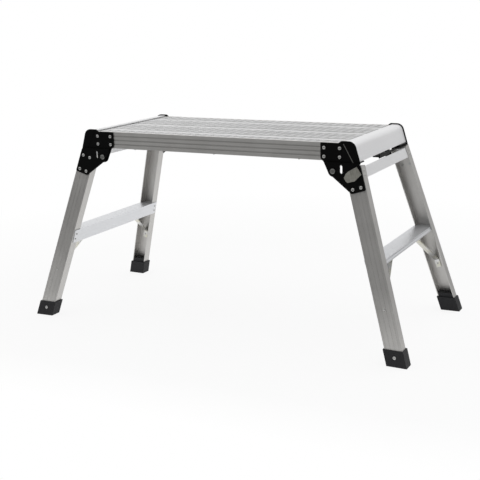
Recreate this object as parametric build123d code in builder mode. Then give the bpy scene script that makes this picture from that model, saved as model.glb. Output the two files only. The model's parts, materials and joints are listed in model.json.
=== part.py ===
import os
from math import cos, radians, sin, tan

from build123d import *

# Folding work platform. X runs along the deck, Y across it and Z up, in millimetres. The origin
# is on the floor under the middle of the deck, and the front of the platform faces -Y.
# Corner pieces are drawn at the front right corner and mirrored to the others.

# Deck
deck_height = 500.0  # top of the tread ribs above the floor
deck_width = 344.0  # over the two side rails
deck_length = 768.0  # over the lower edges of the end caps
joint_gap = 0.3  # between pieces that only lie side by side

# Side rails
rail_height = 42.0
rail_wall = 2.5
rail_lip = 8.0  # top lip that holds the planks down, over the rail's width
rail_lip_wall = 2.0
rail_foot = 18.0  # bottom flange, over the rail's width
end_inset = 26.0  # rails and planks stop this far short of the end caps' lower edges
rail_groove_count = 3
rail_groove_width = 3.4
rail_groove_depth = 1.0

# Tread planks
plank_count = 3
plank_wall = 2.5
plank_lip = 6.0  # drop of the long edges
plank_middle = 26.0  # smooth strip along the middle
rib_count = 4  # on each side of the middle
rib_width = 4.0

# Cross bars under the planks
cross_bar_pitch = 230.0
cross_bar_width = 24.0
cross_bar_wall = 2.0

# End caps
cap_wall = 2.0
cap_cover = 38.0  # reach of the flat top over the planks, from the lower edge inwards
cap_corner = 16.0
cap_lip = 14.0

# Hinges
pivot_inset = 62.0  # pivot axis inside the end caps' lower edges
pivot_drop = 23.0  # pivot axis below the rails
hinge_wall = 2.5
plate_corner = 4.0  # rounding of hinge and leg plates
hinge_proud = 3.0  # hinge plate edge beyond the end cap's outline
hinge_inboard = 33.0  # hinge plate edge, inboard of the pivot
hinge_lobe = 14.5  # radius below the pivot
hinge_step = (12.0, 5.0)  # where the upper edge rises, before the end cap's flat top
hinge_slot_wall = 1.6  # lobe's edge beside the slot, inside the leg's inner edge
hinge_slot_drop = 6.5  # its lower corner below the pivot
hinge_shoulder = (8.0, 3.0, 5.0)  # inboard corner: in from the edge, below and above the rail's foot
short_tab = 26.0
long_tab = 60.0
tab_wall = 2.5
tab_width = 24.0
tab_rivet_inset = 11.0  # from the tab's end
crease_start = (0.5, -1.5)  # from the end cap's inner edge and above the deck
crease_end = (15.4, 5.0)  # from the hinge plate's outer and lower edges
crease_width = 1.8
crease_height = 0.8
bolt_radius = 4.0
bolt_head_radius = 6.3
bolt_head_height = 4.0
bolt_head_round = 2.4
bolt_tip = 1.0  # beyond the nut
nut_across_flats = 13.0
nut_height = 6.5
washer_radius = 9.0
washer_wall = 1.0
running_gap = 0.1
pivot_clearance = 0.06  # radial, between the bolts and what turns on them

# Leg frames
leg_splay = 17.0  # degrees along the deck
side_splay = 8.0  # degrees across the deck
leg_offset = 48.4  # pivot axis to the leg's centre line
leg_width = 42.0
leg_depth = 25.0
leg_wall = 2.0
leg_top = 3.0  # leg's upper end below the pivot, measured along the leg
stop_gap = 0.4  # leg's upper end below the hinge plate it stops against
web_groove_count = 4
web_groove_width = 1.6
web_groove_depth = 0.4

# Leg plates
leg_plate_wall = 3.0
leg_plate_bend = 9.5  # bend line below the pivot, along the leg
leg_plate_top = 21.0  # above the pivot
leg_plate_inboard = 24.0
leg_plate_edge = 1.0  # plate edge inside the leg's outer edge
leg_plate_length = 62.0  # from the pivot down the leg
leg_plate_shoulder = 5.0  # outer upper corner inside the leg's outer edge
leg_plate_narrow = 5.0  # the lower corner inside the leg's inner edge
slot_reach = 19.5
slot_rise = 4.5
slot_width = 7.5
slot_height = 20.0
badge_upper = ((30.5, -14), (43, -8.5), (60, -4.5), (66, -22))  # across and up from the pivot
badge_lower = ((67, -25), (48, -35.5), (30, -35), (26, -30), (24, -22))
badge_skin = 1.0  # over the rivet heads

# Rivets
rivet_radius = 2.4
rivet_head_radius = 4.2
rivet_head_height = 2.2
rivet_dome = 0.85  # rounding of the head over its height
rivet_tail_height = 1.2
rivet_tail_spread = 1.5  # tail over the shank
rivet_clearance = 0.05
small_rivet_scale = 0.7
plate_rivet_pitch = 20.6  # across the leg
plate_rivet_rows = (16.0, 53.0)  # below the pivot, along the leg
hinge_rivet_columns = (-24.0, 15.0)  # from the pivot, along the rail
hinge_rivet_drops = (12.0, 32.5)  # below the rail's top

# Top bars
bar_height = 25.0
bar_wall = 2.5
bar_tab = 24.0  # level tab that carries the latch
bar_tab_length = 46.0
bar_drop = 10.0  # bar's upper edge below the pivot, along the leg
bar_rivet_drops = (7.0, 18.0)  # below the bar's upper edge

# Steps
step_height = 236.0
step_wall = 2.0
step_skirt = 35.0  # inner face
step_nose = 10.0  # outer edge
step_rivet_drops = (12.0, 26.0)

# Braces
brace_width = 13.0
brace_wall = 3.0
brace_foot_drop = 335.0  # lower rivet below the pivot, along the leg
brace_foot_length = 22.0
brace_head_reach = 82.0  # upper bend from the middle of the step
brace_head_length = 22.0

# Boots
boot_height = 38.0
boot_plug_height = 50.0
boot_wall = 3.0
boot_sole = 4.0
boot_rivet_height = 21.0

# Latch levers
latch_reach = 50.0  # lever's rivet outboard of the pivot
latch_inset = 9.0  # lever's rivet inside the hinge plate
latch_rise = 4.0  # lever above the top bar
latch_wall = 2.5
latch_boss = 7.0  # radius round the rivet
latch_width = 9.0
latch_offset = 8.5  # lever's middle outboard of its rivet
latch_length = 203.0  # rivet to the paddle's end
paddle_length = 75.0
paddle_width = 18.0
paddle_proud = 2.0  # paddle's edge outboard of the lever's
paddle_lip_up = 4.0
paddle_lip_down = 2.5
latch_arm_width = 9.0
latch_arm_inset = 4.4  # arm's outer edge inside the rivet's middle, so that it clears the hinge plate
tongue_reach = 32.0  # rivet to the tongue
tongue_width = 19.0
tongue_height = 7.0  # end that enters the slot
tongue_gap = 0.7  # tongue's end inside the hinge plate, latch released
latch_rivet_radius = 3.0
latch_collar_radius = 5.0
latch_head_radius = 6.0
latch_head_height = 1.5

# Heights and faces that several pieces share
rail_face = deck_width / 2
rail_bottom = deck_height - rail_height
cap_foot = deck_length / 2
rail_half = cap_foot - end_inset
pivot_reach = cap_foot - pivot_inset
plank_top = deck_height - rail_lip_wall
pivot_height = rail_bottom - pivot_drop
cap_top = deck_height + cap_wall
cap_inner = cap_foot - cap_cover
hinge_face = rail_face + hinge_wall
leg_plate_face = hinge_face + washer_wall + running_gap
leg_inner = leg_offset - leg_width / 2
leg_outer = leg_offset + leg_width / 2
rivet_hole = rivet_radius + rivet_clearance
small_hole = rivet_radius * small_rivet_scale + rivet_clearance
hinge_rivet_places = [(pivot_reach + column, deck_height - drop)
                      for column in hinge_rivet_columns for drop in hinge_rivet_drops]

splay = radians(leg_splay)
side = radians(side_splay)
outward = Vector(0, -1, 0)
across = Vector(cos(splay), 0, sin(splay))  # across a leg, away from the middle of the deck
upward = Vector(-sin(splay), 0, cos(splay))  # up along a leg, seen from the front

# Planes of the front right corner. On the hinge planes x runs across the leg and y up along it.
rail_plane = Plane(origin=(0, -rail_face, 0), x_dir=(1, 0, 0), z_dir=outward)
hinge_plane = Plane(origin=(pivot_reach, -leg_plate_face, pivot_height), x_dir=across, z_dir=outward)
leg_plane = Plane(
    origin=hinge_plane.from_local_coords(Vector(0, -leg_plate_bend, 0)),
    x_dir=across,
    z_dir=outward * cos(side) + upward * sin(side),
)
leg_run = leg_plane.y_dir * -1  # down along the leg


def down_leg(drop):
    """Distance from the bend line along the leg, for a drop from the pivot seen from the front."""
    return (drop - leg_plate_bend) / cos(side)


def leg_point(over, drop):
    """X and Z of a point that lies over the leg's line from the pivot and a drop along the leg."""
    x = pivot_reach + over * cos(splay) + drop * sin(splay)
    z = pivot_height + over * sin(splay) - drop * cos(splay)
    return x, z


def leg_x(over, z):
    """X at height z of the line along the leg that lies over from the pivot."""
    return pivot_reach + over / cos(splay) + (pivot_height - z) * tan(splay)


def web_reach(over, z):
    """Distance from the middle plane to the outer face of the leg's web."""
    drop = (pivot_height + over * sin(splay) - z) / cos(splay)
    return leg_plate_face + (drop - leg_plate_bend) * tan(side)


section_plane = Plane(
    origin=leg_plane.from_local_coords(Vector(leg_offset, -down_leg(leg_top), 0)),
    x_dir=across,
    z_dir=leg_run,
)
leg_reach = (pivot_height + leg_outer * sin(splay)) / cos(splay) / cos(side) + leg_depth  # past the floor

standing = (Align.CENTER, Align.CENTER, Align.MIN)
hanging = (Align.CENTER, Align.CENTER, Align.MAX)

os.makedirs("parts", exist_ok=True)


def write(part, name):
    part.label = name
    export_step(part, f"parts/{name}.step")


def mirrored(part, *planes):
    with BuildPart() as copy:
        add(part)
        for plane in planes:
            mirror(copy.part, about=plane, mode=Mode.REPLACE)
    return copy.part


# Mirror planes that take the front right corner to each corner
corners = {
    "front_right": (),
    "rear_right": (Plane.XZ,),
    "front_left": (Plane.YZ,),
    "rear_left": (Plane.XZ, Plane.YZ),
}
latch_corners = ("rear_right", "front_left")


def write_corners(part, name):
    for corner, planes in corners.items():
        write(mirrored(part, *planes), f"{corner}_{name}")


def write_frames(part, name):
    """Writes a piece of the right leg frame, and the left one turned half round."""
    write(part, f"right_{name}")
    write(mirrored(part, Plane.XZ, Plane.YZ), f"left_{name}")


def both_legs(part):
    """A front leg's pieces together with the rear leg's."""
    with BuildPart() as pair:
        add(part)
        mirror(part, about=Plane.XZ)
    return pair.part


def all_corners(part):
    with BuildPart() as group:
        add(part)
        mirror(group.part, about=Plane.XZ)
        mirror(group.part, about=Plane.YZ)
    return group.part


def rivet(grip, scale=1.0, flush=False):
    """A domed rivet whose head sits on z = 0, with its shank and, unless flush, a tail below."""
    radius = rivet_radius * scale
    dome = rivet_head_height * scale
    with BuildPart() as body:
        Cylinder(rivet_head_radius * scale, dome, align=standing)
        fillet(body.faces().sort_by(Axis.Z)[-1].edges(), rivet_dome * dome)
        Cylinder(radius, grip, align=hanging)
        if not flush:
            with Locations((0, 0, -grip)):
                Cylinder(rivet_tail_spread * radius, rivet_tail_height * scale, align=hanging)
    return body.part


# Side rails: a grooved web with a lip over the planks and a foot under the cross bars
with BuildPart() as front_rail:
    with BuildSketch(Plane.YZ.offset(-rail_half)):
        with Locations((-rail_face, rail_bottom)):
            Rectangle(rail_wall, rail_height, align=Align.MIN)
            Rectangle(rail_foot, rail_wall, align=Align.MIN)
        with Locations((-rail_face, deck_height)):
            Rectangle(rail_lip, rail_lip_wall, align=(Align.MIN, Align.MAX))
        band = rail_height / (rail_groove_count + 1)
        with Locations(*[(-rail_face, rail_bottom + band * (i + 1)) for i in range(rail_groove_count)]):
            Rectangle(rail_groove_depth, rail_groove_width, align=(Align.MIN, Align.CENTER),
                      mode=Mode.SUBTRACT)
    extrude(amount=2 * rail_half)
    with Locations(Plane.XY.offset(rail_bottom)):
        with Locations(*[(x * cross_bar_pitch, -rail_face + rail_foot / 2) for x in (-1, 0, 1)]):
            Cylinder(rivet_hole, 2 * rail_wall, mode=Mode.SUBTRACT)
    with Locations(rail_plane):
        with Locations(*hinge_rivet_places, *[(-x, z) for x, z in hinge_rivet_places]):
            Cylinder(rivet_hole, 2 * rail_wall, mode=Mode.SUBTRACT)
write(front_rail.part, "front_rail")
write(mirrored(front_rail.part, Plane.XZ), "rear_rail")

# Tread planks: a plate with two bands of ribs and its long edges turned down
plank_space = deck_width - 2 * rail_wall
plank_width = (plank_space - (plank_count + 1) * joint_gap) / plank_count
plank_pitch = plank_width + joint_gap
plank_border = rail_lip - rail_wall  # first rib, clear of the rail's lip by the joint gap
rib_band = (plank_width - plank_middle) / 2 - plank_border
rib_pitch = (rib_band - rib_width) / (rib_count - 1)
rib_half = cap_inner - joint_gap
for i, name in enumerate(("front", "middle", "rear")):
    plank_y = (i - (plank_count - 1) / 2) * plank_pitch
    with BuildPart() as plank:
        with BuildSketch(Plane.YZ.offset(-rail_half)):
            with Locations((plank_y, plank_top)):
                Rectangle(plank_width, plank_lip, align=(Align.CENTER, Align.MAX))
            with Locations((plank_y, plank_top - plank_wall)):
                Rectangle(plank_width - 2 * plank_wall, plank_lip, align=(Align.CENTER, Align.MAX),
                          mode=Mode.SUBTRACT)
        extrude(amount=2 * rail_half)
        with BuildSketch(Plane.YZ.offset(-rib_half)):
            with Locations((plank_y, plank_top + rail_lip_wall / 2)):
                with GridLocations(plank_middle + rib_band, 0, 2, 1):
                    with GridLocations(rib_pitch, 0, rib_count, 1):
                        Rectangle(rib_width, rail_lip_wall)
        extrude(amount=2 * rib_half)
    write(plank.part, f"{name}_plank")

# Cross bars: square tubes that stand on the rails' feet and carry the planks
cross_bar_top = plank_top - plank_lip
cross_bar_bottom = rail_bottom + rail_wall
cross_bar_height = cross_bar_top - cross_bar_bottom
cross_bar_half = rail_face - rail_wall - joint_gap
for i, name in enumerate(("left", "center", "right")):
    with BuildPart() as cross_bar:
        with BuildSketch(Plane.XZ.offset(-cross_bar_half)):
            with Locations(((i - 1) * cross_bar_pitch, cross_bar_bottom + cross_bar_height / 2)):
                Rectangle(cross_bar_width, cross_bar_height)
                Rectangle(cross_bar_width - 2 * cross_bar_wall, cross_bar_height - 2 * cross_bar_wall,
                          mode=Mode.SUBTRACT)
        extrude(amount=2 * cross_bar_half)
        with Locations(Plane.XY.offset(cross_bar_bottom)):
            with Locations(*[((i - 1) * cross_bar_pitch, y * (rail_face - rail_foot / 2)) for y in (-1, 1)]):
                Cylinder(rivet_hole, 3 * cross_bar_wall, mode=Mode.SUBTRACT)
    write(cross_bar.part, f"{name}_cross_bar")

with BuildPart() as cross_bar_rivets:
    with Locations(Plane.XY.offset(rail_bottom)):
        with Locations(*[Location((x * cross_bar_pitch, y * (rail_face - rail_foot / 2), 0), (180, 0, 0))
                         for x in (-1, 0, 1) for y in (-1, 1)]):
            add(rivet(rail_wall + cross_bar_wall))
write(cross_bar_rivets.part, "cross_bar_rivets")

# End caps: a rolled sheet over the plank ends, its face as steep as the legs, with a lip below
cap_slope = tan(splay)


def cap_edge(z, grow):
    """X of the cap's outer face at height z, moved out by grow."""
    return cap_foot + grow / cos(splay) - (z - rail_bottom) * cap_slope


def nearest(sketch, x, y):
    """The sketch's corner that is nearest to a point of its plane."""
    return sketch.vertices().sort_by_distance((x, y, 0))[0]


tab_x = cap_foot - cap_lip / 2 - cap_wall
tabs = {corner: long_tab if corner in latch_corners else short_tab for corner in corners}


def tab_rivet_y(corner):
    """Distance of a tab's rivet from the middle plane."""
    return rail_face - tabs[corner] + tab_rivet_inset


with BuildPart() as right_end_cap:
    with BuildSketch(Plane.XZ.offset(-rail_face)) as cap_profile:
        with BuildLine():
            Polyline(
                (cap_inner, deck_height),
                (cap_inner, cap_top),
                (cap_edge(cap_top, 0), cap_top),
                (cap_foot, rail_bottom),
                (cap_foot - cap_lip, rail_bottom),
                (cap_foot - cap_lip, rail_bottom + cap_wall),
                (cap_edge(rail_bottom + cap_wall, -cap_wall), rail_bottom + cap_wall),
                (cap_edge(deck_height, -cap_wall), deck_height),
                close=True,
            )
        make_face()
        fillet(nearest(cap_profile, cap_edge(cap_top, 0), cap_top), cap_corner)
        fillet(nearest(cap_profile, cap_edge(deck_height, -cap_wall), deck_height), cap_corner - cap_wall)
    extrude(amount=2 * rail_face)
    with Locations(
        (tab_x, -tab_rivet_y("front_right"), rail_bottom),
        (tab_x, tab_rivet_y("rear_right"), rail_bottom),
    ):
        Cylinder(small_hole, 3 * cap_wall, mode=Mode.SUBTRACT)
write(right_end_cap.part, "right_end_cap")
write(mirrored(right_end_cap.part, Plane.XZ, Plane.YZ), "left_end_cap")

# Hinge plates: they close the end caps' sides, carry the pivots and stop the legs
hinge_top = cap_top + hinge_proud
hinge_back = pivot_reach - hinge_inboard
hinge_over = (cap_foot - pivot_reach) * cos(splay) + pivot_drop * sin(splay) + hinge_proud
hinge_drop = leg_top - stop_gap
lobe_over = leg_inner - hinge_slot_wall
slot_middle = (pivot_reach + slot_reach, pivot_height + slot_rise)


def hinge_plate(tab):
    with BuildPart() as plate:
        with BuildSketch(rail_plane) as outline:
            with BuildLine():
                Polyline(
                    (hinge_back, deck_height),
                    (cap_inner - hinge_step[0], deck_height),
                    (cap_inner - hinge_step[1], hinge_top),
                    (cap_edge(hinge_top, hinge_proud), hinge_top),
                    leg_point(hinge_over, hinge_drop),
                    leg_point(lobe_over, hinge_drop),
                    (pivot_reach + lobe_over, pivot_height - hinge_slot_drop),
                    (pivot_reach + 0.6 * hinge_lobe, pivot_height - 0.8 * hinge_lobe),
                    (pivot_reach - 0.86 * hinge_lobe, pivot_height - 0.5 * hinge_lobe),
                    (hinge_back + hinge_shoulder[0], rail_bottom - hinge_shoulder[1]),
                    (hinge_back, rail_bottom + hinge_shoulder[2]),
                    close=True,
                )
            make_face()
            fillet(nearest(outline, cap_edge(hinge_top, hinge_proud), hinge_top), cap_corner + hinge_proud)
            fillet(nearest(outline, *leg_point(hinge_over, hinge_drop)), plate_corner)
            fillet(nearest(outline, hinge_back, deck_height), plate_corner / 2)
            fillet(nearest(outline, cap_inner - hinge_step[1], hinge_top), plate_corner)
            with Locations((pivot_reach, pivot_height)):
                Circle(hinge_lobe)
                Circle(bolt_radius + rivet_clearance, mode=Mode.SUBTRACT)
            with Locations(slot_middle):
                SlotOverall(slot_height, slot_width, rotation=90, mode=Mode.SUBTRACT)
            with Locations(*hinge_rivet_places):
                Circle(rivet_hole, mode=Mode.SUBTRACT)
        extrude(amount=hinge_wall)
        with Locations((tab_x, -hinge_face, rail_bottom)):
            Box(tab_width, tab + hinge_wall, tab_wall, align=(Align.CENTER, Align.MIN, Align.MAX))
        with Locations((tab_x, -rail_face + tab - tab_rivet_inset, rail_bottom)):
            Cylinder(small_hole, 3 * tab_wall, mode=Mode.SUBTRACT)
        with BuildSketch(rail_plane.offset(hinge_wall)):
            with BuildLine():
                Line(
                    (cap_inner + crease_start[0], deck_height + crease_start[1]),
                    leg_point(hinge_over - crease_end[0], hinge_drop - crease_end[1]),
                )
            trace(line_width=crease_width)
        extrude(amount=crease_height)
    return plate.part


for corner, planes in corners.items():
    write(mirrored(hinge_plate(tabs[corner]), *planes), f"{corner}_hinge_plate")

with BuildPart() as hinge_rivet_corner:
    with Locations(rail_plane.offset(hinge_wall)):
        with Locations(*hinge_rivet_places):
            add(rivet(hinge_wall + rail_wall))
write(all_corners(hinge_rivet_corner.part), "hinge_plate_rivets")

with BuildPart() as end_cap_rivets:
    with Locations(Plane.XY.offset(rail_bottom - tab_wall)):
        with Locations(
            Location((tab_x, -tab_rivet_y("front_right"), 0), (180, 0, 0)),
            Location((tab_x, tab_rivet_y("rear_right"), 0), (180, 0, 0)),
            Location((-tab_x, -tab_rivet_y("front_left"), 0), (180, 0, 0)),
            Location((-tab_x, tab_rivet_y("rear_left"), 0), (180, 0, 0)),
        ):
            add(rivet(tab_wall + cap_wall, small_rivet_scale))
write(end_cap_rivets.part, "end_cap_rivets")

# Pivots: a bolt through hinge plate, washer and leg plate, with its nut inside
bolt_seat = leg_plate_face + leg_plate_wall + running_gap
bolt_end = rail_face - nut_height - bolt_tip
pivot_plane = Plane(origin=(pivot_reach, 0, pivot_height), x_dir=(1, 0, 0), z_dir=outward)
with BuildPart() as bolt:
    with Locations(pivot_plane.offset(bolt_seat)):
        Cylinder(bolt_head_radius, bolt_head_height, align=standing)
    fillet(bolt.faces().sort_by(Axis.Y)[0].edges(), bolt_head_round)
    with Locations(pivot_plane.offset(bolt_end)):
        Cylinder(bolt_radius, bolt_seat - bolt_end, align=standing)
write(all_corners(bolt.part), "pivot_bolts")

with BuildPart() as washer:
    with BuildSketch(pivot_plane.offset(hinge_face)):
        Circle(washer_radius)
        Circle(bolt_radius + rivet_clearance, mode=Mode.SUBTRACT)
    extrude(amount=washer_wall)
write(all_corners(washer.part), "pivot_washers")

with BuildPart() as nut:
    with BuildSketch(pivot_plane.offset(rail_face - nut_height)):
        RegularPolygon(nut_across_flats / 2, 6, major_radius=False)
        Circle(bolt_radius + rivet_clearance, mode=Mode.SUBTRACT)
    extrude(amount=nut_height)
write(all_corners(nut.part), "pivot_nuts")


# Places of the rivets in a leg
def web_place(over, drop):
    return over, -down_leg(drop)


def flange_plane(over, drop, facing):
    """Plane on a leg's flange, half way across it, that faces along or against the way across."""
    x, z = leg_point(over, drop)
    reach = leg_plate_face + (drop - leg_plate_bend) * tan(side) - leg_depth / 2
    return Plane(origin=(x, -reach, z), x_dir=(0, 1, 0), z_dir=across * facing)


def drop_at(over, z):
    return (pivot_height + over * sin(splay) - z) / cos(splay)


plate_columns = (leg_offset - plate_rivet_pitch / 2, leg_offset + plate_rivet_pitch / 2)
plate_places = [web_place(over, row) for row in plate_rivet_rows for over in plate_columns]
bar_planes = [flange_plane(leg_outer, bar_drop + d, 1) for d in bar_rivet_drops]
step_rivet_over = leg_inner - step_wall
step_rivet_drop = drop_at(step_rivet_over, step_height)
step_planes = [flange_plane(step_rivet_over, step_rivet_drop + d, -1) for d in step_rivet_drops]
brace_place = web_place(leg_offset, brace_foot_drop)
boot_place = web_place(leg_offset, drop_at(leg_offset, boot_rivet_height))

# Legs: channels with a finely grooved web outwards
with BuildPart() as leg:
    with BuildSketch(section_plane):
        Rectangle(leg_width, leg_depth, align=(Align.CENTER, Align.MAX))
        with Locations((0, -leg_wall)):
            Rectangle(leg_width - 2 * leg_wall, leg_depth, align=(Align.CENTER, Align.MAX),
                      mode=Mode.SUBTRACT)
        with GridLocations(leg_width / web_groove_count, 0, web_groove_count, 1):
            Rectangle(web_groove_width, 2 * web_groove_depth, mode=Mode.SUBTRACT)
    extrude(amount=leg_reach)
    split(bisect_by=Plane.XY.offset(boot_sole), keep=Keep.TOP)
    with Locations(leg_plane):
        with Locations(*plate_places):
            Cylinder(rivet_hole, 3 * leg_wall, mode=Mode.SUBTRACT)
        with Locations(boot_place):
            Cylinder(rivet_hole, 3 * leg_wall, mode=Mode.SUBTRACT)
        with Locations(brace_place):
            Cylinder(small_hole, 3 * leg_wall, mode=Mode.SUBTRACT)
    with Locations(*bar_planes, *step_planes):
        Cylinder(small_hole, 3 * (leg_wall + step_wall), mode=Mode.SUBTRACT)
write_corners(leg.part, "leg")

# Leg plates: upright beside the hinge plate, then bent to lie on the leg
plate_over = leg_outer - leg_plate_edge
plate_knee = -0.5 * hinge_lobe
plate_foot = down_leg(leg_plate_length)


def hinge_local(dx, dz):
    """Point of the hinge plane from offsets along X and Z from the pivot."""
    return dx * cos(splay) + dz * sin(splay), dz * cos(splay) - dx * sin(splay)


with BuildPart() as leg_plate:
    with BuildSketch(hinge_plane) as upright:
        with BuildLine():
            Polyline(
                hinge_local(-leg_plate_inboard, leg_plate_top),
                hinge_local(plate_over - leg_plate_shoulder, leg_plate_top),
                (plate_over, -leg_plate_bend),
                (plate_knee, -leg_plate_bend),
                close=True,
            )
        make_face()
        fillet(nearest(upright, *hinge_local(-leg_plate_inboard, leg_plate_top)), plate_corner)
        fillet(nearest(upright, *hinge_local(plate_over - leg_plate_shoulder, leg_plate_top)), plate_corner)
        Circle(bolt_radius + pivot_clearance, mode=Mode.SUBTRACT)
    extrude(amount=leg_plate_wall)
    with BuildSketch(leg_plane) as sloped:
        with BuildLine():
            Polyline(
                (plate_knee, 0),
                (plate_over, 0),
                (plate_over, -plate_foot),
                (leg_inner + leg_plate_narrow, -plate_foot),
                close=True,
            )
        make_face()
        fillet(nearest(sloped, plate_over, -plate_foot), plate_corner)
        fillet(nearest(sloped, leg_inner + leg_plate_narrow, -plate_foot), plate_corner)
        with Locations(*plate_places):
            Circle(rivet_hole, mode=Mode.SUBTRACT)
    extrude(amount=leg_plate_wall)
    with BuildSketch(hinge_plane):
        with Locations(hinge_local(slot_reach, slot_rise)):
            SlotOverall(slot_height, slot_width, rotation=90 - leg_splay)
    extrude(amount=2 * leg_plate_wall, both=True, mode=Mode.SUBTRACT)
write_corners(leg_plate.part, "leg_plate")

with BuildPart() as plate_rivets:
    with Locations(leg_plane.offset(leg_plate_wall)):
        with Locations(*plate_places):
            add(rivet(leg_plate_wall + leg_wall))
write_frames(both_legs(plate_rivets.part), "plate_rivets")

# Blank badge over the upper rivets of the front right leg plate, bent as the plate is
badge_wall = rivet_head_height + badge_skin
badge_points = (*badge_upper, *badge_lower)
with BuildPart() as badge:
    with BuildSketch(hinge_plane.offset(leg_plate_wall)):
        with BuildLine():
            Polyline(*badge_points, close=True)
        make_face()
        with Locations((0, -leg_plate_bend)):
            Rectangle(4 * leg_width, 4 * leg_width, align=(Align.CENTER, Align.MAX), mode=Mode.SUBTRACT)
    extrude(amount=badge_wall)
    with BuildSketch(leg_plane.offset(leg_plate_wall)):
        with BuildLine():
            Polyline(*[(over, -down_leg(-up)) for over, up in badge_points], close=True)
        make_face()
        Rectangle(4 * leg_width, 4 * leg_width, align=(Align.CENTER, Align.MIN), mode=Mode.SUBTRACT)
    extrude(amount=badge_wall)
    with Locations(leg_plane.offset(leg_plate_wall)):
        with Locations(*plate_places[:2]):
            Cylinder(rivet_head_radius + joint_gap, 2 * (rivet_head_height + joint_gap), mode=Mode.SUBTRACT)
write(badge.part, "blank_badge")

# Top bars: a flat bar inside the legs' outer flanges, with a level tab that carries the latch
bar_over = leg_outer - leg_wall
bar_x, bar_top = leg_point(bar_over, bar_drop)
bar_half = web_reach(leg_inner, bar_top) - leg_wall - joint_gap
latch_x = pivot_reach + latch_reach
latch_y = rail_face - latch_inset
with BuildPart() as top_bar:
    with BuildSketch(Plane.XZ.offset(-bar_half)):
        with BuildLine():
            Polyline(
                (bar_x, bar_top),
                leg_point(bar_over, bar_drop + bar_height),
                leg_point(bar_over - bar_wall, bar_drop + bar_height),
                (leg_x(bar_over - bar_wall, bar_top), bar_top),
                close=True,
            )
        make_face()
    extrude(amount=2 * bar_half)
    with Locations((bar_x - bar_wall / 2, bar_half, bar_top)):
        Box(bar_tab - bar_wall / 2, bar_tab_length, bar_wall, align=Align.MAX)
    with Locations(*bar_planes):
        Cylinder(small_hole, 4 * bar_wall, mode=Mode.SUBTRACT)
    with Locations(*[Plane(origin=(p.origin.X, -p.origin.Y, p.origin.Z), z_dir=across) for p in bar_planes]):
        Cylinder(small_hole, 4 * bar_wall, mode=Mode.SUBTRACT)
    with Locations((latch_x, latch_y, bar_top)):
        Cylinder(latch_rivet_radius + rivet_clearance, 3 * bar_wall, mode=Mode.SUBTRACT)
write_frames(top_bar.part, "top_bar")

with BuildPart() as bar_rivets:
    with Locations(*bar_planes):
        add(rivet(leg_wall + bar_wall, small_rivet_scale))
write_frames(both_legs(bar_rivets.part), "bar_rivets")

# Steps: a level tread between the legs, with a skirt inside and a short nose outside
tread_over = leg_outer - leg_wall - joint_gap
tread_under = step_height - step_wall
step_half = web_reach(leg_inner, step_height) - leg_wall - joint_gap
nose_bottom = step_height - step_nose
skirt_bottom = step_height - step_skirt
with BuildPart() as step:
    with BuildSketch(Plane.XZ):
        with BuildLine():
            Polyline(
                (leg_x(leg_inner - step_wall, step_height), step_height),
                (leg_x(tread_over, step_height), step_height),
                (leg_x(tread_over, nose_bottom), nose_bottom),
                (leg_x(tread_over - step_wall, nose_bottom), nose_bottom),
                (leg_x(tread_over - step_wall, tread_under), tread_under),
                (leg_x(leg_inner, tread_under), tread_under),
                (leg_x(leg_inner, skirt_bottom), skirt_bottom),
                (leg_x(leg_inner - step_wall, skirt_bottom), skirt_bottom),
                close=True,
            )
        make_face()
    extrude(amount=step_half)
    with BuildSketch(section_plane):
        with Locations((-leg_width / 2, 0)):
            Rectangle(leg_wall + joint_gap, leg_depth + joint_gap, align=(Align.MIN, Align.MAX))
    extrude(amount=leg_reach, mode=Mode.SUBTRACT)
    with Locations(*step_planes):
        Cylinder(small_hole, 3 * step_wall, mode=Mode.SUBTRACT)
    with Locations((leg_x(leg_offset, tread_under), -brace_head_reach + brace_head_length / 2, step_height)):
        Cylinder(small_hole, 3 * step_wall, mode=Mode.SUBTRACT)
    mirror(about=Plane.XZ)
write_frames(step.part, "step")

with BuildPart() as step_rivets:
    with Locations(*step_planes):
        add(rivet(step_wall + leg_wall, small_rivet_scale))
write_frames(both_legs(step_rivets.part), "step_rivets")

# Braces: flat strips from under the tread to the legs' webs
brace_head = Vector(leg_x(leg_offset, tread_under), -brace_head_reach, tread_under - brace_wall / 2)
brace_top = brace_place[1] + brace_foot_length / 2
brace_foot = leg_plane.from_local_coords(Vector(leg_offset, brace_top, -leg_wall - brace_wall / 2))
brace_way = brace_foot - brace_head
brace_lean = brace_way.dot(across)
with BuildPart() as brace:
    with BuildSketch(Plane(origin=brace_head, x_dir=(1, 0, 0), z_dir=(0, brace_way.Y, brace_way.Z))):
        Rectangle(brace_width, brace_wall)
    with BuildSketch(Plane(origin=brace_foot, x_dir=across, z_dir=brace_way - across * brace_lean)):
        Rectangle(brace_width, brace_wall)
    loft(ruled=True)
    with Locations((brace_head.X, brace_head.Y, tread_under)):
        Box(brace_width, brace_head_length, brace_wall, align=(Align.CENTER, Align.MIN, Align.MAX))
    with Locations(leg_plane.offset(-leg_wall)):
        with Locations((leg_offset, brace_top)):
            Box(brace_width, brace_foot_length, brace_wall, align=(Align.CENTER, Align.MAX, Align.MAX))
        with Locations(brace_place):
            Cylinder(small_hole, 3 * brace_wall, mode=Mode.SUBTRACT)
    with Locations((brace_head.X, brace_head.Y + brace_head_length / 2, tread_under)):
        Cylinder(small_hole, 3 * brace_wall, mode=Mode.SUBTRACT)
write_corners(brace.part, "brace")

with BuildPart() as brace_rivets:
    with Locations(leg_plane):
        with Locations(brace_place):
            add(rivet(leg_wall + brace_wall, small_rivet_scale))
    with Locations(Location((brace_head.X, brace_head.Y + brace_head_length / 2, tread_under - brace_wall),
                            (180, 0, 0))):
        add(rivet(step_wall + brace_wall, small_rivet_scale, flush=True))
write_frames(both_legs(brace_rivets.part), "brace_rivets")

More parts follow.
